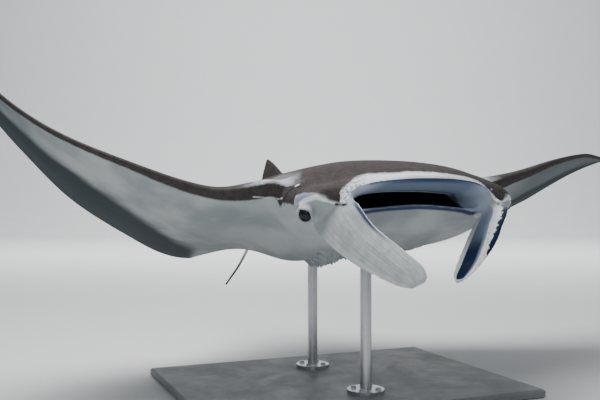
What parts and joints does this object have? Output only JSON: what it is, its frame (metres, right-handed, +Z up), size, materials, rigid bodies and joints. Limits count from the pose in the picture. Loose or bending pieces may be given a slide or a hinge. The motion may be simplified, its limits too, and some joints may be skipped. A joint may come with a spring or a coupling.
{
  "type": "reef manta ray display model",
  "caption": "Life-size still model of a swimming reef manta ray, wings mid-stroke and head fins lowered by an open mouth, held on a flat stand by two upright rods.",
  "frame": {"origin": "middle of the stand base's underside, on the floor under the animal's trunk", "axes": "+Z up, -Y the way the animal faces, +X the animal's left"},
  "size_m": [2.9719, 2.2989, 1.2715],
  "materials": {
    "skin": "satin ray skin: dark brown-grey back, pale grey-white underside and white lip band, fine mottling",
    "eye": "polished near-black eye with a faint dark iris",
    "stand_base": "satin powder-coated plate",
    "stand_rod": "brushed steel rod with a round flange"
  },
  "bodies": {
    "root": {"head": "skin", "lower_jaw": "skin", "trunk": "skin", "wing_right_root": "skin", "wing_right_middle": "skin", "wing_right_tip": "skin", "cephalic_fin_right": "skin", "pelvic_fin_right": "skin", "wing_left_root": "skin", "wing_left_middle": "skin", "wing_left_tip": "skin", "cephalic_fin_left": "skin", "pelvic_fin_left": "skin", "dorsal_fin": "skin", "tail_base": "skin", "tail_middle": "skin", "tail_tip": "skin", "eye_right": "eye", "eye_left": "eye", "stand_base": "stand_base", "stand_rod_front": "stand_rod", "stand_rod_rear": "stand_rod"}
  },
  "joints": []
}
